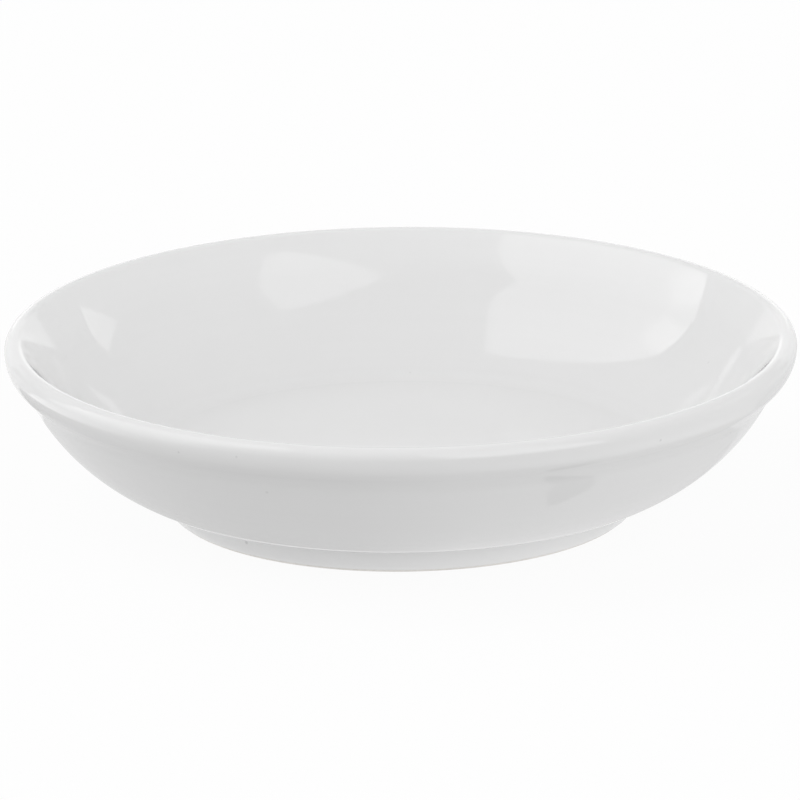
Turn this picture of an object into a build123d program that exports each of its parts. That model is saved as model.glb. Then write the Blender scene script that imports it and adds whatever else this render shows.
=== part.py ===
"""Round white soy sauce dish: one fired clay body, glazed all over but for its foot ring."""

import os
from math import radians, tan

from build123d import *

quarter_turn = 90.0

# Driving dimensions in millimetres and degrees, measured over the glaze

# Overall
rim_diameter = 100.0
dish_height = 22.2

# Rolled rim bead, from its crest over the widest line to the groove under it
bead_top_radius = 1.4
bead_side_radius = 4.1
bead_wrap = 66.0
groove_radius = 3.5

# Inner edge of the rim, from the crest to the flare
lip_radius = 1.2
lip_wrap = 47.3

# Inside of the bowl, which flares a little under the rim
flare_radius = 37.3
flare_wrap = 9.5
floor_diameter = 65.5
floor_height = 6.65
floor_corner_radius = 5.0

# Outside of the bowl, down to the heel where it turns in to the foot
side_bulge = 1.5
heel_diameter = 70.9
heel_height = 4.55
heel_radius = 0.8

# Foot ring and the well inside it
foot_diameter = 58.8
foot_width = 3.5
foot_height = 3.45
foot_draft = 10.0
foot_corner_radius = 1.0
foot_edge_radius = 0.7
well_depth = 2.5

# Glaze, wiped off the foot ring below the glaze line
glaze_thickness = 0.3
glaze_line = 0.4


def glazed_section():
    """Section of the glazed dish, carried past the axis, with the foot as deep as if it were glazed too."""
    rim_radius = rim_diameter / 2
    foot_radius = foot_diameter / 2
    past_axis = -floor_diameter / 2
    foot_bottom = -glaze_thickness
    lean = tan(radians(foot_draft))

    widest_height = dish_height - bead_top_radius
    widest = (rim_radius, widest_height)
    crest_radius = rim_radius - bead_top_radius
    crest_center = (crest_radius, widest_height)
    lip_center = (crest_radius, dish_height - lip_radius)
    heel = (heel_diameter / 2, heel_height)
    floor_edge = (floor_diameter / 2, floor_height)
    foot_outer = (foot_radius, foot_bottom)
    foot_top = (foot_radius + lean * foot_height, foot_height)
    foot_inner = (foot_radius - foot_width, foot_bottom)
    well_edge = (foot_radius - foot_width - lean * well_depth, well_depth)

    bead_side = JernArc(widest, (0, -1), bead_side_radius, -bead_wrap)
    bead_top = CenterArc(crest_center, bead_top_radius, 0, quarter_turn)
    lip = CenterArc(lip_center, lip_radius, quarter_turn, lip_wrap)
    flare = JernArc(lip @ 1, lip % 1, flare_radius, flare_wrap)
    inner_wall = TangentArc(flare @ 1, floor_edge, tangent=flare % 1)
    groove = bead_side @ 1
    outer_side = SagittaArc(heel, groove, -side_bulge)
    turned_under = Polyline(
        floor_edge,
        (past_axis, floor_height),
        (past_axis, well_depth),
        well_edge,
        foot_inner,
        foot_outer,
        foot_top,
        heel,
    )
    section = make_face([bead_side, bead_top, lip, flare, inner_wall, turned_under, outer_side]).face()
    corners = [
        (floor_edge, floor_corner_radius),
        (groove, groove_radius),
        (heel, heel_radius),
        (foot_top, foot_corner_radius),
        (foot_outer, foot_edge_radius),
        (foot_inner, foot_edge_radius),
        (well_edge, foot_corner_radius),
    ]
    for point, radius in corners:
        corner = section.vertices().sort_by_distance(Vector(*point))[0]
        section = section.fillet_2d(radius, [corner])
    return section


def right_of_axis(lowest):
    """Sheet on the dish's side of the axis, from the given height up past the rim."""
    return Pos(0, lowest) * Rectangle(rim_diameter, 2 * dish_height, align=(Align.MIN, Align.MIN))


def turned(section):
    """Solid turned from a section about the dish's upright axis."""
    return revolve(Plane.XZ * section, Axis.Z)


def plain_stroke(edge):
    """The edge itself if it is straight, or else the one arc through its ends and its middle."""
    if edge.geom_type == GeomType.LINE:
        return edge
    start, middle, end = (edge @ share for share in (0, 0.5, 1))
    return ThreePointArc(start, middle, end)


def clay_section(glazed):
    """Section of the fired clay under the glaze, whose bare foot ring stands at height zero."""
    inset = offset(glazed, -glaze_thickness)
    return make_face([plain_stroke(edge) for edge in inset.edges()])


def ceramic_body(clay):
    """Fired clay body: floor, side, rim bead and foot ring in one piece."""
    return turned(clay & right_of_axis(-glaze_thickness))


def glaze_coats(glazed, clay):
    """Main coat from the floor over the rim to the foot, and the coat in the well under the dish."""
    sections = ((glazed - clay) & right_of_axis(glaze_line)).faces().sort_by(Axis.X)
    well, main = sections[0], sections[-1]
    return turned(main), turned(well)


glazed = glazed_section()
clay = clay_section(glazed)
body = ceramic_body(clay)
coat, well_coat = glaze_coats(glazed, clay)

os.makedirs("parts", exist_ok=True)
export_step(body, "parts/ceramic_body.step")
export_step(coat, "parts/glaze_coat.step")
export_step(well_coat, "parts/foot_well_glaze.step")
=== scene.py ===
"""Looks of a white soy sauce dish: turned glaze coats over a clay body, under soft studio light."""

import logging
import math
from dataclasses import astuple, dataclass
from enum import Enum
from typing import Any

import bpy
from mathutils import Matrix, Vector


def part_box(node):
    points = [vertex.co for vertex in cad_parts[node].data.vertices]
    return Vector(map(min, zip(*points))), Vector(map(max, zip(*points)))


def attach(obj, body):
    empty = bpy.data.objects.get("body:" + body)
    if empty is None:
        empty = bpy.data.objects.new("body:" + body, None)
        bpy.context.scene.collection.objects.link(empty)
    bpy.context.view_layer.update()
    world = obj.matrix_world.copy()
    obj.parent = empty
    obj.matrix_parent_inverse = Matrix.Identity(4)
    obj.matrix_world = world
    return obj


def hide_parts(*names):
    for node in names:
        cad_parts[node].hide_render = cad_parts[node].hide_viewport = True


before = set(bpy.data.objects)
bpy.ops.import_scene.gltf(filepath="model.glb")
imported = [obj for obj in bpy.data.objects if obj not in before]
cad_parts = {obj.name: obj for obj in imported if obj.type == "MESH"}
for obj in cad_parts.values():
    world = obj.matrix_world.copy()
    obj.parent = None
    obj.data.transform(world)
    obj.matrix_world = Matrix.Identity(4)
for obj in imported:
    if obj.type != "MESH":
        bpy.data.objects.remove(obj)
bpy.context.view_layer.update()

# One millimetre in metres
MM = 0.001

# Longest stretch and turn between points of an arc, and which points the hidden side of a coat keeps
ARC_STEP = 0.6
ARC_TURN = math.radians(3.0)
HIDDEN_STEP = 3

QUARTER_TURN = 90.0
ROOT_BODY = "root"

log = logging.getLogger("soy_sauce_dish")


class Node(Enum):
    """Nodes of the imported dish."""

    BODY = "ceramic_body"
    COAT = "glaze_coat"
    WELL = "foot_well_glaze"


class Slot(Enum):
    """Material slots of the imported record."""

    CLAY = "bare_clay"
    GLAZE = "white_glaze"


class Wire:
    """A node's output that takes part in Python expressions."""

    def __init__(self, graph: "Graph", socket: bpy.types.NodeSocket) -> None:
        """Keeps the socket and the graph that expressions on it grow.

        Args:
            graph: Graph that holds the socket's node.
            socket: Output socket.
        """
        self.graph = graph
        self.socket = socket

    def __add__(self, other: "Wire | float") -> "Wire":
        """Sum of two values."""
        return self.graph.math("ADD", self, other)

    def __radd__(self, other: float) -> "Wire":
        """Sum with a number on the left."""
        return self.graph.math("ADD", other, self)

    def __sub__(self, other: "Wire | float") -> "Wire":
        """Difference of two values."""
        return self.graph.math("SUBTRACT", self, other)

    def __rsub__(self, other: float) -> "Wire":
        """Difference with a number on the left."""
        return self.graph.math("SUBTRACT", other, self)

    def __mul__(self, other: "Wire | float") -> "Wire":
        """Product of two values."""
        return self.graph.math("MULTIPLY", self, other)

    def __rmul__(self, other: float) -> "Wire":
        """Product with a number on the left."""
        return self.graph.math("MULTIPLY", other, self)

    def __truediv__(self, other: "Wire | float") -> "Wire":
        """Quotient of two values."""
        return self.graph.math("DIVIDE", self, other)


Feed = Wire | float | int | str | tuple | bpy.types.ID


class Graph:
    """A node tree that is written as expressions and short node calls."""

    def __init__(self, tree: bpy.types.NodeTree) -> None:
        """Keeps the tree and empties it.

        Args:
            tree: Shader or geometry node tree.
        """
        self.tree = tree
        tree.nodes.clear()

    def node(self, kind: str, settings: dict[str, Any] | None = None, **inputs: Feed) -> bpy.types.Node:
        """Adds a node, sets it up and feeds its sockets.

        Args:
            kind: Node type.
            settings: Properties of the node, set before its sockets.
            inputs: Values or wires by socket name, with spaces as underscores, or by place, as in_0.

        Returns:
            The new node.
        """
        node = self.tree.nodes.new(kind)
        for name, value in (settings or {}).items():
            setattr(node, name, value)
        for name, value in inputs.items():
            place = name.removeprefix("in_")
            socket = node.inputs[int(place) if place.isdigit() else name.replace("_", " ")]
            if isinstance(value, Wire):
                self.tree.links.new(value.socket, socket)
            else:
                socket.default_value = value
        return node

    def wire(
        self, kind: str, settings: dict[str, Any] | None = None, out: str | int = 0, **inputs: Feed
    ) -> Wire:
        """Adds a node and returns one of its outputs.

        Args:
            kind: Node type.
            settings: Properties of the node.
            out: Name or place of the output.
            inputs: Values or wires for the sockets.

        Returns:
            The output as a wire.
        """
        return Wire(self, self.node(kind, settings, **inputs).outputs[out])

    def math(self, operation: str, first: "Wire | float", second: "Wire | float" = 0.0) -> Wire:
        """Adds a Math node.

        Args:
            operation: Operation of the node.
            first: First value.
            second: Second value, where the operation has one.

        Returns:
            The result as a wire.
        """
        return self.wire("ShaderNodeMath", {"operation": operation}, in_0=first, in_1=second)

    def blend(self, share: Feed, first: Feed, second: Feed) -> Wire:
        """Adds a Mix node for colours, whose colour sockets are found by place.

        Args:
            share: Share of the second colour.
            first: First colour.
            second: Second colour.

        Returns:
            The mixed colour as a wire.
        """
        return self.wire("ShaderNodeMix", {"data_type": "RGBA"}, out=2, in_0=share, in_6=first, in_7=second)


def new_material(name: str) -> tuple[bpy.types.Material, Graph]:
    """Adds an empty material.

    Args:
        name: Name of the material.

    Returns:
        The material and the graph of its nodes.
    """
    made = bpy.data.materials.new(name)
    made.use_nodes = True
    return made, Graph(made.node_tree)


def linked(name: str, data: bpy.types.ID) -> bpy.types.Object:
    """Adds an object to the scene.

    Args:
        name: Name of the object.
        data: Mesh, curve or camera of the object.

    Returns:
        The new object.
    """
    made = bpy.data.objects.new(name, data)
    bpy.context.scene.collection.objects.link(made)
    return made


Line = list[Vector]


def turn_between(first: Vector, second: Vector) -> float:
    """Angle from one heading to another, positive to the left."""
    return math.atan2(first.cross(second), first.dot(second))


def arc(start: Vector, heading: Vector, end: Vector) -> Line:
    """Arc that leaves a point on a heading and ends at another point.

    Args:
        start: Where the arc begins.
        heading: Direction of the arc at its start.
        end: Where the arc ends.

    Returns:
        Points along the arc, close enough together to look round.
    """
    chord = end - start
    half_turn = turn_between(heading, chord)
    length = chord.length * half_turn / math.sin(half_turn)
    steps = math.ceil(max(abs(2 * half_turn) / ARC_TURN, length / ARC_STEP))
    points = [start]
    for step in range(1, steps):
        bend = half_turn * step / steps
        reach = chord.length * math.sin(bend) / math.sin(half_turn)
        points.append(start + Matrix.Rotation(bend, 2) @ heading.normalized() * reach)
    return [*points, end]


def swept(start: Vector, heading: Vector, radius: float, turn: float) -> Line:
    """Arc of a given radius.

    Args:
        start: Where the arc begins.
        heading: Direction of the arc at its start, of unit length.
        radius: Radius of the arc in millimetres.
        turn: Angle that the arc turns through in degrees, positive to the left.

    Returns:
        Points along the arc.
    """
    half_turn = math.radians(turn) / 2
    reach = 2 * radius * math.sin(abs(half_turn))
    return arc(start, heading, start + Matrix.Rotation(half_turn, 2) @ heading * reach)


def shortened(line: Line, length: float) -> Line:
    """Line with a length taken off its end.

    Args:
        line: Points of the line.
        length: How much to take off, in millimetres.

    Returns:
        Points of the shorter line.
    """
    points = list(line)
    while (last := (points[-1] - points[-2]).length) <= length:
        length -= last
        points.pop()
    points[-1] = points[-1].lerp(points[-2], length / last)
    return points


def joined(strokes: list[Line], roundings: list[float]) -> Line:
    """Strokes drawn end to end as one line, with the corners between them rounded.

    Args:
        strokes: Lines that each begin where the one before ends.
        roundings: Radius of each corner in millimetres, or zero where two strokes meet smoothly.

    Returns:
        Points of the whole line.
    """
    line = list(strokes[0])
    for stroke, rounding in zip(strokes[1:], roundings):
        if not rounding:
            line += stroke[1:]
            continue
        turn = turn_between(line[-1] - line[-2], stroke[1] - stroke[0])
        setback = rounding * math.tan(abs(turn) / 2)
        line = shortened(line, setback)
        rest = shortened(stroke[::-1], setback)[::-1]
        line += arc(line[-1], line[-1] - line[-2], rest[0])[1:] + rest[1:]
    return line


def moved_right(line: Line, distance: float) -> Line:
    """Line moved sideways.

    Args:
        line: Points of the line.
        distance: How far to move it, to the right of its direction, in millimetres.

    Returns:
        Points of the moved line.
    """
    headings = [(after - before).normalized() for before, after in zip(line, line[1:])]
    befores = [headings[0], *headings]
    afters = [*headings, headings[-1]]
    moved = []
    for point, before, after in zip(line, befores, afters):
        along = (before + after).normalized()
        moved.append(point + Vector((along.y, -along.x)) * distance)
    return moved


def down_to(line: Line, height: float) -> Line:
    """Line from its start to where it first comes down to a height.

    Args:
        line: Points of the line.
        height: Height to stop at.

    Returns:
        Points of the upper stretch.
    """
    below = next(place for place, point in enumerate(line) if point.y < height)
    before, after = line[below - 1], line[below]
    share = (before.y - height) / (before.y - after.y)
    return [*line[:below], before.lerp(after, share)]


@dataclass(frozen=True)
class DishSizes:
    """Sizes of the dish over its glaze, in millimetres and degrees."""

    rim_diameter: float
    height: float
    bead_top_radius: float = 1.4
    bead_side_radius: float = 4.1
    bead_wrap: float = 66.0
    groove_radius: float = 3.5
    lip_radius: float = 1.2
    lip_wrap: float = 47.3
    flare_radius: float = 37.3
    flare_wrap: float = 9.5
    floor_diameter: float = 65.5
    floor_height: float = 6.65
    floor_corner_radius: float = 5.0
    side_bulge: float = 1.5
    heel_diameter: float = 70.9
    heel_height: float = 4.55
    heel_radius: float = 0.8
    foot_diameter: float = 58.8
    foot_width: float = 3.5
    foot_height: float = 3.45
    foot_draft: float = 10.0
    foot_corner_radius: float = 1.0
    foot_edge_radius: float = 0.7
    well_depth: float = 2.5
    glaze_thickness: float = 0.3
    glaze_line: float = 0.4
    glaze_edge_radius: float = 0.12


class DishSection:
    """Closed sections of the dish's coats and body, with the clay on the right of each line."""

    def __init__(self, sizes: DishSizes) -> None:
        """Draws the glazed line and the clay's line under it.

        Args:
            sizes: Sizes of the dish.
        """
        self.sizes = sizes
        strokes, roundings = zip(*self.inside(), *self.outside(), *self.foot())
        self.glazed = joined(list(strokes), list(roundings[1:]))
        self.clay = moved_right(self.glazed, sizes.glaze_thickness)

    def crest(self) -> Vector:
        """Top of the rim, where the bead's round meets the lip's."""
        return Vector((self.sizes.rim_diameter / 2 - self.sizes.bead_top_radius, self.sizes.height))

    def inside(self) -> list[tuple[Line, float]]:
        """Draws the inside, from the middle of the floor to the crest of the rim.

        Returns:
            Strokes, each with the rounding before it.
        """
        sizes = self.sizes
        inward = Vector((-1.0, 0.0))
        down_flare = Matrix.Rotation(math.radians(sizes.lip_wrap), 2) @ inward
        down_wall = Matrix.Rotation(math.radians(sizes.lip_wrap + sizes.flare_wrap), 2) @ inward
        floor_edge = Vector((sizes.floor_diameter / 2, sizes.floor_height))
        lip = swept(self.crest(), inward, sizes.lip_radius, sizes.lip_wrap)
        flare = swept(lip[-1], down_flare, sizes.flare_radius, sizes.flare_wrap)
        wall = arc(flare[-1], down_wall, floor_edge)
        return [
            ([Vector((0.0, sizes.floor_height)), floor_edge], 0.0),
            (wall[::-1], sizes.floor_corner_radius),
            (flare[::-1], 0.0),
            (lip[::-1], 0.0),
        ]

    def outside(self) -> list[tuple[Line, float]]:
        """Draws the outside, from the crest of the rim to the heel.

        Returns:
            Strokes, each with the rounding before it.
        """
        sizes = self.sizes
        bead_top = swept(self.crest(), Vector((1.0, 0.0)), sizes.bead_top_radius, -QUARTER_TURN)
        bead_side = swept(bead_top[-1], Vector((0.0, -1.0)), sizes.bead_side_radius, -sizes.bead_wrap)
        groove = bead_side[-1]
        heel = Vector((sizes.heel_diameter / 2, sizes.heel_height))
        chord = heel - groove
        half_turn = 2 * math.atan(2 * sizes.side_bulge / chord.length)
        down_side = Matrix.Rotation(half_turn, 2) @ chord
        side = arc(groove, down_side, heel)
        return [(bead_top, 0.0), (bead_side, 0.0), (side, sizes.groove_radius)]

    def foot(self) -> list[tuple[Line, float]]:
        """Draws the underside, from the heel round the foot to the middle of the well.

        Returns:
            Strokes, each with the rounding before it.
        """
        sizes = self.sizes
        foot_radius = sizes.foot_diameter / 2
        lean = math.tan(math.radians(sizes.foot_draft))
        corners = [
            Vector((sizes.heel_diameter / 2, sizes.heel_height)),
            Vector((foot_radius + lean * sizes.foot_height, sizes.foot_height)),
            Vector((foot_radius, -sizes.glaze_thickness)),
            Vector((foot_radius - sizes.foot_width, -sizes.glaze_thickness)),
            Vector((foot_radius - sizes.foot_width - lean * sizes.well_depth, sizes.well_depth)),
            Vector((0.0, sizes.well_depth)),
        ]
        strokes = [[before, after] for before, after in zip(corners, corners[1:])]
        roundings = [
            sizes.heel_radius,
            sizes.foot_corner_radius,
            sizes.foot_edge_radius,
            sizes.foot_edge_radius,
            sizes.foot_corner_radius,
        ]
        return list(zip(strokes, roundings))

    def edged(self, outer: Line, inner: Line) -> Line:
        """Closed section of a coat down to the glaze line, with its lower edge rounded.

        Args:
            outer: Glazed line from the axis down past the glaze line.
            inner: Clay's line beside it.

        Returns:
            Points from the axis along the glaze, round its edge and back along the clay.
        """
        top = down_to(outer, self.sizes.glaze_line)
        under = down_to(inner, self.sizes.glaze_line)[::-1]
        hidden = [*under[:-1:HIDDEN_STEP], under[-1]]
        return joined([top, [top[-1], under[0]], hidden], [self.sizes.glaze_edge_radius, 0.0])

    def coat(self) -> Line:
        """Section of the main coat, from the floor over the rim to the foot."""
        return self.edged(self.glazed, self.clay)

    def well_coat(self) -> Line:
        """Section of the coat in the well under the dish."""
        return self.edged(self.glazed[::-1], self.clay[::-1])[::-1]

    def body(self) -> Line:
        """Section of the fired clay."""
        return self.clay


class Lathe:
    """Geometry node tree that turns a section about the upright axis.

    A point of the sheet finds its row by its index, moved to the middle of its place to round safely.
    """

    around: int = 256
    weld: float = 0.004 * MM
    place_middle: float = 0.5

    def __init__(self) -> None:
        """Builds the tree once, for every turned piece."""
        self.tree = bpy.data.node_groups.new("turned_piece", "GeometryNodeTree")
        graph = Graph(self.tree)
        self.sockets = {
            name: self.tree.interface.new_socket(name=name, in_out="INPUT", socket_type=kind).identifier
            for name, kind in (
                ("Section", "NodeSocketObject"),
                ("Around", "NodeSocketInt"),
                ("Weld", "NodeSocketFloat"),
                ("Finish", "NodeSocketMaterial"),
            )
        }
        self.tree.interface.new_socket(name="Geometry", in_out="OUTPUT", socket_type="NodeSocketGeometry")
        given = graph.node("NodeGroupInput")
        inputs = {name: Wire(graph, given.outputs[name]) for name in self.sockets}
        line = graph.wire("GeometryNodeObjectInfo", out="Geometry", Object=inputs["Section"])
        along = graph.wire("GeometryNodeAttributeDomainSize", {"component": "CURVE"}, Geometry=line)
        columns = inputs["Around"] + 1
        sheet = graph.wire("GeometryNodeMeshGrid", Vertices_X=along, Vertices_Y=columns)
        index = graph.wire("GeometryNodeInputIndex")
        row = graph.math("FLOOR", (index + self.place_middle) / columns)
        angle = (index - row * columns) / inputs["Around"] * math.tau
        place = graph.wire(
            "GeometryNodeSampleIndex",
            {"data_type": "FLOAT_VECTOR", "domain": "POINT"},
            Geometry=line,
            Value=graph.wire("GeometryNodeInputPosition"),
            Index=row,
        )
        split = graph.node("ShaderNodeSeparateXYZ", Vector=place)
        reach = Wire(graph, split.outputs["X"])
        turned = graph.wire(
            "ShaderNodeCombineXYZ",
            X=reach * graph.math("COSINE", angle),
            Y=reach * graph.math("SINE", angle),
            Z=Wire(graph, split.outputs["Z"]),
        )
        shape = graph.wire("GeometryNodeSetPosition", Geometry=sheet, Position=turned)
        closed = graph.wire("GeometryNodeMergeByDistance", Geometry=shape, Distance=inputs["Weld"])
        smooth = graph.wire("GeometryNodeSetShadeSmooth", Geometry=closed)
        real = graph.wire("GeometryNodeRealizeInstances", Geometry=smooth)
        dressed = graph.wire("GeometryNodeSetMaterial", Geometry=real, Material=inputs["Finish"])
        graph.node("NodeGroupOutput", Geometry=dressed)

    def turn(self, name: str, section: Line, finish: bpy.types.Material) -> bpy.types.Object:
        """Turns a section into a finished mesh piece.

        Args:
            name: Name of the piece.
            section: Closed section that begins and ends on the axis, in millimetres.
            finish: Material of the piece.

        Returns:
            The piece, with its place in its mesh.
        """
        curve = bpy.data.curves.new(f"{name}_section", "CURVE")
        curve.dimensions = "3D"
        spline = curve.splines.new("POLY")
        spline.points.add(len(section) - 1)
        for point, place in zip(spline.points, section):
            point.co = (place.x * MM, 0.0, place.y * MM, 1.0)
        line = linked(f"{name}_section", curve)
        piece = linked(name, bpy.data.meshes.new(name))
        lathe = piece.modifiers.new("lathe", "NODES")
        lathe.node_group = self.tree
        values = {"Section": line, "Around": self.around, "Weld": self.weld, "Finish": finish}
        for socket, value in values.items():
            lathe[self.sockets[socket]] = value
        evaluated = piece.evaluated_get(bpy.context.evaluated_depsgraph_get())
        mesh = bpy.data.meshes.new_from_object(evaluated)
        piece.modifiers.remove(lathe)
        piece.data = mesh
        mesh.name = name
        bpy.data.objects.remove(line)
        return piece


@dataclass(frozen=True)
class Speck:
    """Dark speck fired into the glaze, placed in millimetres."""

    place: tuple[float, float, float]
    radius: float
    depth: float


SPECKS = (
    Speck((-19.5, -22.5, 2.0), 0.3, 0.24),
    Speck((-27.6, -41.5, 19.7), 0.2, 0.14),
    Speck((-20.4, -45.6, 20.3), 0.2, 0.12),
    Speck((-22.4, -41.7, 16.6), 0.22, 0.13),
    Speck((-16.7, -43.4, 15.0), 0.26, 0.11),
    Speck((14.0, -45.4, 16.9), 0.22, 0.17),
    Speck((32.2, -38.1, 19.7), 0.24, 0.17),
    Speck((41.1, -22.8, 16.0), 0.22, 0.16),
    Speck((-28.1, -29.1, 7.8), 0.24, 0.12),
    Speck((1.2, 33.6, 7.2), 0.2, 0.08),
    Speck((39.1, 14.5, 13.9), 0.24, 0.08),
)


@dataclass(frozen=True)
class GlazeFinish:
    """Clear gloss glaze over a white body, a little uneven, with faint turning lines and a few specks."""

    color: tuple[float, float, float, float] = (0.765, 0.765, 0.765, 1.0)
    dull_color: tuple[float, float, float, float] = (0.72, 0.72, 0.72, 1.0)
    speck_color: tuple[float, float, float, float] = (0.1, 0.1, 0.1, 1.0)
    roughness: float = 0.01
    ior: float = 1.5
    cloud_scale: float = 90.0
    cloud_detail: float = 3.0
    line_scale: float = 1500.0
    line_detail: float = 2.0
    line_stretch: float = 0.03
    dull_share: float = 0.25
    speck_firmness: float = 2.0
    peel_scale: float = 700.0
    peel_detail: float = 1.0
    peel_height: float = 0.000002

    def material(self) -> bpy.types.Material:
        """Mixes the tones and the specks under an even gloss.

        Returns:
            The glaze's material.
        """
        made, graph = new_material("white_gloss_glaze")
        place = graph.wire("ShaderNodeTexCoord", out="Object")
        tone = graph.blend(self.dullness(graph, place), self.color, self.dull_color)
        speckled = graph.blend(self.specks(graph, place), tone, self.speck_color)
        peel = graph.wire("ShaderNodeTexNoise", Vector=place, Scale=self.peel_scale, Detail=self.peel_detail)
        bump = graph.wire("ShaderNodeBump", Distance=self.peel_height, Height=peel)
        shader = graph.wire(
            "ShaderNodeBsdfPrincipled",
            Base_Color=speckled,
            Roughness=self.roughness,
            IOR=self.ior,
            Normal=bump,
        )
        graph.node("ShaderNodeOutputMaterial", Surface=shader)
        return made

    def dullness(self, graph: Graph, place: Wire) -> Wire:
        """Where the glaze lies thinner: soft clouds, and lines that run round the dish.

        Args:
            graph: Graph of the material.
            place: Place on the dish in metres.

        Returns:
            Share of the duller tone.
        """
        clouds = graph.wire(
            "ShaderNodeTexNoise", Vector=place, Scale=self.cloud_scale, Detail=self.cloud_detail
        )
        squash = (self.line_stretch, self.line_stretch, 1.0)
        along = graph.wire("ShaderNodeVectorMath", {"operation": "MULTIPLY"}, in_0=place, in_1=squash)
        lines = graph.wire(
            "ShaderNodeTexNoise", Vector=along, Scale=self.line_scale, Detail=self.line_detail
        )
        return (clouds + lines) * self.dull_share

    def specks(self, graph: Graph, place: Wire) -> Wire:
        """Mask of the specks.

        Args:
            graph: Graph of the material.
            place: Place on the dish in metres.

        Returns:
            Depth of the speck at the place, or else zero.
        """
        mask: Wire | float = 0.0
        for speck in SPECKS:
            middle = tuple(part * MM for part in speck.place)
            apart = graph.wire(
                "ShaderNodeVectorMath", {"operation": "DISTANCE"}, out="Value", in_0=place, in_1=middle
            )
            spot = graph.math("MAXIMUM", 1.0 - apart / (speck.radius * MM), 0.0)
            mask = mask + graph.math("MINIMUM", spot * self.speck_firmness, 1.0) * speck.depth
        return mask


@dataclass(frozen=True)
class BareClayFinish:
    """Dry fired clay where the glaze was wiped off, gritty and marked by the sponge."""

    color: tuple[float, float, float, float] = (0.74, 0.72, 0.69, 1.0)
    grit_color: tuple[float, float, float, float] = (0.56, 0.54, 0.5, 1.0)
    roughness: float = 0.8
    grit_scale: float = 2500.0
    grit_detail: float = 4.0
    grit_sharpness: float = 3.0
    wipe_scale: float = 3000.0
    wipe_height: float = 0.00002

    def material(self) -> bpy.types.Material:
        """Mixes the grit into a matt tone, with grit and wipe marks in relief.

        Returns:
            The bare clay's material.
        """
        made, graph = new_material("bare_fired_clay")
        place = graph.wire("ShaderNodeTexCoord", out="Object")
        grit = graph.wire("ShaderNodeTexNoise", Vector=place, Scale=self.grit_scale, Detail=self.grit_detail)
        tone = graph.blend(graph.math("POWER", grit, self.grit_sharpness), self.color, self.grit_color)
        reach = graph.wire("ShaderNodeVectorMath", {"operation": "LENGTH"}, out="Value", in_0=place)
        wiped = graph.wire("ShaderNodeTexNoise", {"noise_dimensions": "1D"}, W=reach, Scale=self.wipe_scale)
        bump = graph.wire("ShaderNodeBump", Distance=self.wipe_height, Height=grit + wiped)
        shader = graph.wire(
            "ShaderNodeBsdfPrincipled", Base_Color=tone, Roughness=self.roughness, Normal=bump
        )
        graph.node("ShaderNodeOutputMaterial", Surface=shader)
        return made


class Dish:
    """The dish: clay body, main glaze coat and the coat in the well under it."""

    def __init__(self, sizes: DishSizes) -> None:
        """Prepares the section, lathe and finishes.

        Args:
            sizes: Sizes of the dish.
        """
        self.section = DishSection(sizes)
        self.lathe = Lathe()
        self.glaze = GlazeFinish().material()
        self.clay = BareClayFinish().material()

    def build(self) -> None:
        """Turns every piece and lets it stand for its node."""
        self.stand_for("glaze_skin", self.section.coat(), self.glaze, Node.COAT)
        self.stand_for("well_glaze_skin", self.section.well_coat(), self.glaze, Node.WELL)
        self.stand_for("clay_body", self.section.body(), self.clay, Node.BODY)

    def stand_for(
        self, name: str, section: Line, finish: bpy.types.Material, node: Node
    ) -> None:
        """Turns one piece that takes a node's place.

        Args:
            name: Name of the piece.
            section: Closed section of the piece.
            finish: Material of the piece.
            node: Node that the piece stands for.
        """
        piece = self.lathe.turn(name, section, finish)
        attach(piece, ROOT_BODY)
        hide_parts(node.value)
        log.info("%s: %d faces", name, len(piece.data.polygons))


def direction(azimuth: float, elevation: float) -> Vector:
    """Direction from the dish.

    Args:
        azimuth: Angle round the dish in degrees, zero towards the photo's camera, positive to its right.
        elevation: Angle above the floor in degrees.

    Returns:
        Unit vector.
    """
    turn = math.radians(azimuth)
    rise = math.radians(elevation)
    return Vector((math.sin(turn) * math.cos(rise), -math.cos(turn) * math.cos(rise), math.sin(rise)))


@dataclass(frozen=True)
class PhotoCamera:
    """Camera at the photograph's viewing angle, far off with a long lens, in degrees and millimetres."""

    elevation: float = 16.842
    roll: float = 0.459
    distance: float = 2257.8
    lens: float = 805.06
    aim_side: float = -0.1225
    aim_height: float = 13.673

    def build(self) -> None:
        """Adds the camera and makes it the scene's own."""
        data = bpy.data.cameras.new("photo_camera")
        data.lens = self.lens
        camera = linked("photo_camera", data)
        back = direction(0.0, self.elevation)
        aim = Vector((self.aim_side, 0.0, self.aim_height))
        camera.location = (aim + back * self.distance) * MM
        facing = (-back).to_track_quat("-Z", "Y").to_matrix()
        roll = Matrix.Rotation(math.radians(-self.roll), 3, "Z")
        camera.rotation_euler = (facing @ roll).to_euler()
        bpy.context.scene.camera = camera


def glowing(name: str, strength: float) -> bpy.types.Material:
    """Material of a white light.

    Args:
        name: Name of the material.
        strength: Strength of its light.

    Returns:
        The material.
    """
    made, graph = new_material(name)
    graph.node("ShaderNodeOutputMaterial", Surface=graph.wire("ShaderNodeEmission", Strength=strength))
    return made


@dataclass(frozen=True)
class LightPanel:
    """Flat white panel that lights the dish and shows in its glaze.

    Its corners are azimuths and elevations in degrees, and its distance is in metres.
    """

    name: str
    strength: float
    corners: tuple[tuple[float, float], ...]
    distance: float = 4.0

    def build(self) -> None:
        """Adds the panel, square to the dish and hidden from the camera."""
        toward = [direction(azimuth, elevation) for azimuth, elevation in self.corners]
        middle = sum(toward, Vector()).normalized()
        places = [way * (self.distance / way.dot(middle)) for way in toward]
        mesh = bpy.data.meshes.new(self.name)
        mesh.from_pydata(places, [], [range(len(places))])
        mesh.materials.append(glowing(self.name, self.strength))
        panel = linked(self.name, mesh)
        panel.visible_camera = False


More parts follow.
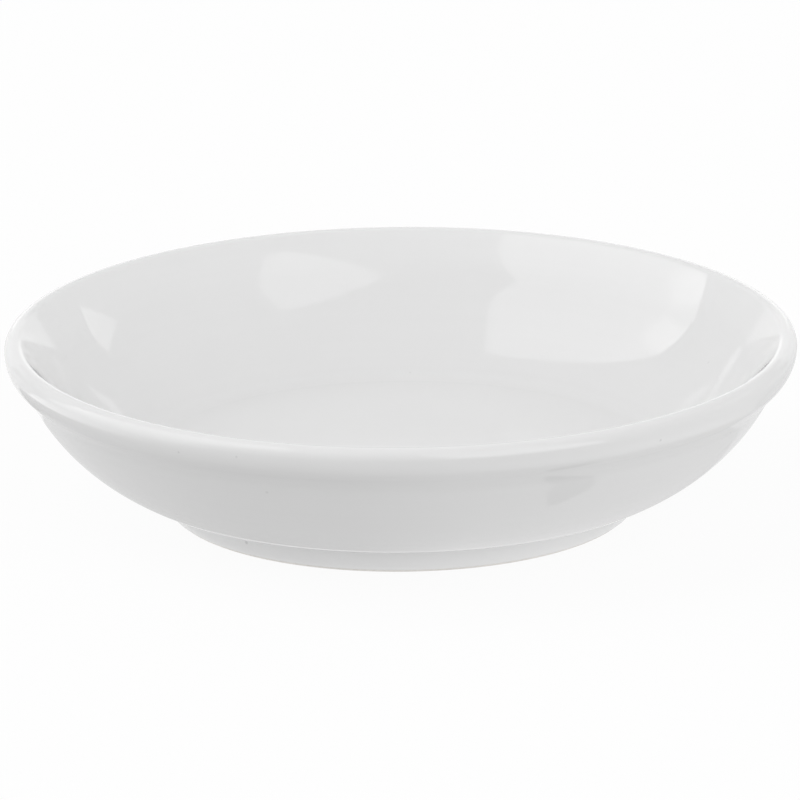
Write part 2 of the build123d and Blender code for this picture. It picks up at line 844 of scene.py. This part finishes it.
LEFT_BANK = LightPanel(
    "left_bank",
    1.9,
    (
        (-64.5, 0.7),
        (-120.6, 0.6),
        (-119.2, 22.6),
        (-123.6, 33.5),
        (-102.0, 74.2),
        (-45.9, 59.6),
        (-44.1, 52.4),
    ),
)
LEFT_HOT_SPOT = LightPanel(
    "left_hot_spot",
    2.5,
    (
        (-108.0, 28.0),
        (-119.5, 25.5),
        (-121.5, 28.0),
        (-122.6, 34.5),
        (-117.0, 37.0),
        (-109.0, 37.0),
    ),
    distance=3.8,
)
WINDOW = LightPanel(
    "window",
    1.85,
    (
        (6.2, 50.8),
        (54.0, 58.2),
        (60.3, 55.5),
        (58.0, 46.0),
        (60.0, 20.0),
        (60.0, 2.0),
        (12.0, 2.0),
        (10.0, 25.0),
    ),
)
WINDOW_LOWER_HALF = LightPanel(
    "window_lower_half",
    2.6,
    ((14.0, 2.0), (60.0, 2.0), (59.0, 30.0), (14.0, 30.0)),
    distance=3.8,
)
RIGHT_PANEL = LightPanel(
    "right_panel",
    1.6,
    ((103.0, 17.0), (127.0, 17.0), (128.5, 23.8), (115.0, 24.2), (103.0, 24.2)),
)
BACKDROP_RIGHT = LightPanel(
    "backdrop_right",
    1.14,
    ((148.0, 0.5), (180.0, 0.5), (180.0, 20.0), (148.0, 20.0)),
)
BACKDROP_LEFT = LightPanel(
    "backdrop_left",
    1.07,
    ((-180.0, 0.5), (-148.0, 0.5), (-148.0, 20.0), (-180.0, 20.0)),
)
BACKDROP_FOOT = LightPanel(
    "backdrop_foot",
    1.4,
    ((168.0, 0.5), (-168.0, 0.5), (-168.0, 11.0), (168.0, 11.0)),
    distance=3.9,
)


@dataclass(frozen=True)
class Spoke:
    """Line on the floor outward from the dish, in degrees and millimetres, and the brightness of the painted
    floor reflection along it.
    """

    azimuth: float
    near: float
    far: float
    level: float

    def toward(self, other: "Spoke", share: float) -> "Spoke":
        """Spoke part of the way to another one."""
        ends = zip(astuple(self), astuple(other))
        return Spoke(*(here + (there - here) * share for here, there in ends))


@dataclass(frozen=True)
class PaintedFloorReflection:
    """Flat sheet between spokes on the floor, which shows in the glaze only, as a painted reflection of the
    floor: darker where it stands for the dish's shadow, brighter where it stands for lit floor.

    Its lift over the floor is in millimetres, and the step between its filled-in spokes in degrees.
    """

    name: str
    spokes: tuple[Spoke, ...]
    lift: float = 0.2
    step: float = 3.0

    def filled(self) -> list[Spoke]:
        """Fills in spokes between the given ones.

        Returns:
            Spokes close enough together for round edges.
        """
        row = [self.spokes[0]]
        for before, after in zip(self.spokes, self.spokes[1:]):
            steps = math.ceil((after.azimuth - before.azimuth) / self.step)
            row += [before.toward(after, step / steps) for step in range(1, steps + 1)]
        return row

    def build(self) -> None:
        """Adds the painted reflection sheet just over the floor."""
        raised = Vector((0.0, 0.0, self.lift))
        places = []
        levels = []
        for spoke in self.filled():
            for reach in (spoke.near, spoke.far):
                places.append((direction(spoke.azimuth, 0.0) * reach + raised) * MM)
                levels.append(spoke.level)
        faces = [(place, place + 1, place + 3, place + 2) for place in range(0, len(places) - 2, 2)]
        mesh = bpy.data.meshes.new(self.name)
        mesh.from_pydata(places, [], faces)
        mesh.attributes.new("level", "FLOAT", "POINT").data.foreach_set("value", levels)
        mesh.materials.append(self.material())
        reflection_sheet = linked(self.name, mesh)
        # Painted reflection only: hidden from the camera, it sheds no light and casts no shadow
        reflection_sheet.visible_camera = False
        reflection_sheet.visible_diffuse = False
        reflection_sheet.visible_shadow = False

    def material(self) -> bpy.types.Material:
        """Lets the sheet glow as its spokes' levels say, as painted light that only the glaze reflects.

        Returns:
            The card's material.
        """
        made, graph = new_material(self.name)
        level = graph.wire("ShaderNodeAttribute", {"attribute_name": "level"}, out="Fac")
        glow = graph.wire("ShaderNodeEmission", Strength=level)
        graph.node("ShaderNodeOutputMaterial", Surface=glow)
        return made


# Reaches over the floor in millimetres of the painted floor reflections, from beside the foot outward
BESIDE_FOOT = 30.2
PAST_RIM = 57.0
SHADE_END = 77.0
RIGHT_REFLECTION_END = 130.0
FAR_OFF = 2000.0

# Level of the painted shadow reflection in the spot beside the dish
SHADOW_REFLECTION_LEVEL = 0.35

# Painted reflection of the dish's shadow on the floor round the foot
NEAR_SHADE_REFLECTION = PaintedFloorReflection(
    "near_card",
    (
        Spoke(-180.0, BESIDE_FOOT, PAST_RIM, 0.8),
        Spoke(-100.0, BESIDE_FOOT, PAST_RIM, 0.78),
        Spoke(-35.0, BESIDE_FOOT, PAST_RIM, 0.55),
        Spoke(-10.0, BESIDE_FOOT, PAST_RIM, 0.58),
        Spoke(15.0, BESIDE_FOOT, PAST_RIM, 0.85),
        Spoke(95.0, BESIDE_FOOT, PAST_RIM, 0.74),
        Spoke(97.0, BESIDE_FOOT, PAST_RIM, 0.86),
        Spoke(180.0, BESIDE_FOOT, PAST_RIM, 0.8),
    ),
)
# Painted reflection of the floor past the rim: shaded on the left, lit at the front right
MIDDLE_FLOOR_REFLECTION = PaintedFloorReflection(
    "middle_card",
    (
        Spoke(-115.0, PAST_RIM, SHADE_END, 0.6),
        Spoke(-75.0, PAST_RIM, SHADE_END, 0.6),
        Spoke(0.0, PAST_RIM, SHADE_END, 0.95),
        Spoke(20.0, PAST_RIM, SHADE_END, 1.45),
        Spoke(70.0, PAST_RIM, SHADE_END, 1.3),
        Spoke(95.0, PAST_RIM, SHADE_END, 0.85),
    ),
)
# Painted shade reflection of the floor on the right, from the side round to the back
RIGHT_SHADE_REFLECTION = PaintedFloorReflection(
    "right_card",
    (
        Spoke(95.0, PAST_RIM, RIGHT_REFLECTION_END, 0.78),
        Spoke(165.0, PAST_RIM, RIGHT_REFLECTION_END, 0.9),
    ),
)
# Painted reflection of brightly lit floor beyond the dish's shadow on the left
LEFT_LIT_FLOOR_REFLECTION = PaintedFloorReflection(
    "left_card",
    (
        Spoke(-107.0, 81.0, FAR_OFF, 1.7),
        Spoke(-90.0, 78.0, FAR_OFF, 1.8),
        Spoke(-70.0, 83.0, FAR_OFF, 1.8),
        Spoke(-47.0, 107.0, FAR_OFF, 1.6),
    ),
)
# Painted reflection of a dark patch of shadow on the floor next to the dish
SHADOW_REFLECTION_SPOT = PaintedFloorReflection(
    "dark_spot",
    (
        Spoke(30.0, 44.5, 49.0, SHADOW_REFLECTION_LEVEL),
        Spoke(32.0, 44.2, 51.5, SHADOW_REFLECTION_LEVEL),
        Spoke(38.0, 46.5, 52.0, SHADOW_REFLECTION_LEVEL),
        Spoke(41.0, 49.0, 51.0, SHADOW_REFLECTION_LEVEL),
    ),
    lift=0.3,
)


@dataclass(frozen=True)
class Surround:
    """Light from all round, dimmer on the camera's side and brighter from above."""

    level: float = 0.61
    lean: tuple[float, float, float] = (0.04, 0.31, 0.33)


@dataclass(frozen=True)
class LightTable:
    """Glowing floor in metres, brightest close to the dish and on either side of it."""

    size: float = 40.0
    paint: tuple[float, float, float, float] = (0.85, 0.85, 0.85, 1.0)
    glow_share: float = 0.92
    far_glow: float = 0.35
    near_glow: float = 0.6
    side_glow: float = 0.35
    near_reach: float = 0.08
    drop: float = 0.00005


class Studio:
    """White floor, surrounding light, the panels round the dish and painted reflections of the floor that
    show in the glaze only.
    """

    surround: Surround = Surround()
    table: LightTable = LightTable()
    panels: tuple[LightPanel, ...] = (
        LEFT_BANK,
        LEFT_HOT_SPOT,
        WINDOW,
        WINDOW_LOWER_HALF,
        RIGHT_PANEL,
        BACKDROP_RIGHT,
        BACKDROP_LEFT,
        BACKDROP_FOOT,
    )
    painted_reflections: tuple[PaintedFloorReflection, ...] = (NEAR_SHADE_REFLECTION, MIDDLE_FLOOR_REFLECTION, RIGHT_SHADE_REFLECTION, LEFT_LIT_FLOOR_REFLECTION, SHADOW_REFLECTION_SPOT)

    def build(self) -> None:
        """Adds the floor, the world, the panels and the painted floor reflections."""
        self.add_floor()
        self.light_world()
        for light in (*self.panels, *self.painted_reflections):
            light.build()

    def white_when_seen(self, graph: Graph, strength: Wire) -> Wire:
        """Strength of a light that is plain white to the camera, to mirrors and through glass.

        Args:
            graph: Graph that the strength is used in.
            strength: Strength of the light that it sheds on the dish.

        Returns:
            One for rays that show the light itself, or else its strength.
        """
        path = graph.node("ShaderNodeLightPath")
        kinds = ("Is Camera Ray", "Is Glossy Ray", "Is Transmission Ray")
        camera, glossy, clear = (Wire(graph, path.outputs[kind]) for kind in kinds)
        seen = graph.math("MINIMUM", camera + glossy + clear, 1.0)
        return seen * (1.0 - strength) + strength

    def add_floor(self) -> None:
        """Adds a wide floor that glows like a light table, keeps a faint shadow and is clear from below."""
        table = self.table
        half = table.size / 2
        mesh = bpy.data.meshes.new("floor")
        corners = [(-half, -half, 0.0), (half, -half, 0.0), (half, half, 0.0), (-half, half, 0.0)]
        mesh.from_pydata(corners, [], [range(len(corners))])
        floor = linked("floor", mesh)
        floor.location.z = -table.drop
        material, graph = new_material("white_floor")
        place = graph.node("ShaderNodeSeparateXYZ", Vector=graph.wire("ShaderNodeTexCoord", out="Object"))
        side, depth = (Wire(graph, place.outputs[axis]) for axis in ("X", "Y"))
        across = side * side
        reach = table.near_reach**2
        pool = (across * table.side_glow + reach * table.near_glow) / (across + depth * depth + reach)
        glow = graph.wire("ShaderNodeEmission", Strength=self.white_when_seen(graph, pool + table.far_glow))
        paint = graph.wire("ShaderNodeBsdfDiffuse", Color=table.paint)
        mixed = graph.wire("ShaderNodeMixShader", in_0=table.glow_share, in_1=paint, in_2=glow)
        underneath = graph.wire("ShaderNodeNewGeometry", out="Backfacing")
        clear = graph.wire("ShaderNodeBsdfTransparent")
        one_way = graph.wire("ShaderNodeMixShader", in_0=underneath, in_1=mixed, in_2=clear)
        graph.node("ShaderNodeOutputMaterial", Surface=one_way)
        mesh.materials.append(material)

    def light_world(self) -> None:
        """Surrounds the dish with soft light in front of a white backdrop."""
        world = bpy.data.worlds.new("studio")
        bpy.context.scene.world = world
        world.use_nodes = True
        graph = Graph(world.node_tree)
        way = graph.wire("ShaderNodeTexCoord", out="Generated")
        lean = graph.wire(
            "ShaderNodeVectorMath",
            {"operation": "DOT_PRODUCT"},
            out="Value",
            in_0=way,
            in_1=self.surround.lean,
        )
        strength = self.white_when_seen(graph, lean + self.surround.level)
        light = graph.wire("ShaderNodeBackground", Strength=strength)
        graph.node("ShaderNodeOutputWorld", Surface=light)


def main() -> None:
    """Builds the dish, the studio and the camera."""
    logging.basicConfig(level=logging.INFO)
    bpy.context.scene.view_settings.view_transform = "Standard"
    low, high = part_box(Node.COAT.value)
    sizes = DishSizes(rim_diameter=(high.x - low.x) / MM, height=high.z / MM)
    Dish(sizes).build()
    Studio().build()
    PhotoCamera().build()


if __name__ == "__main__":
    main()
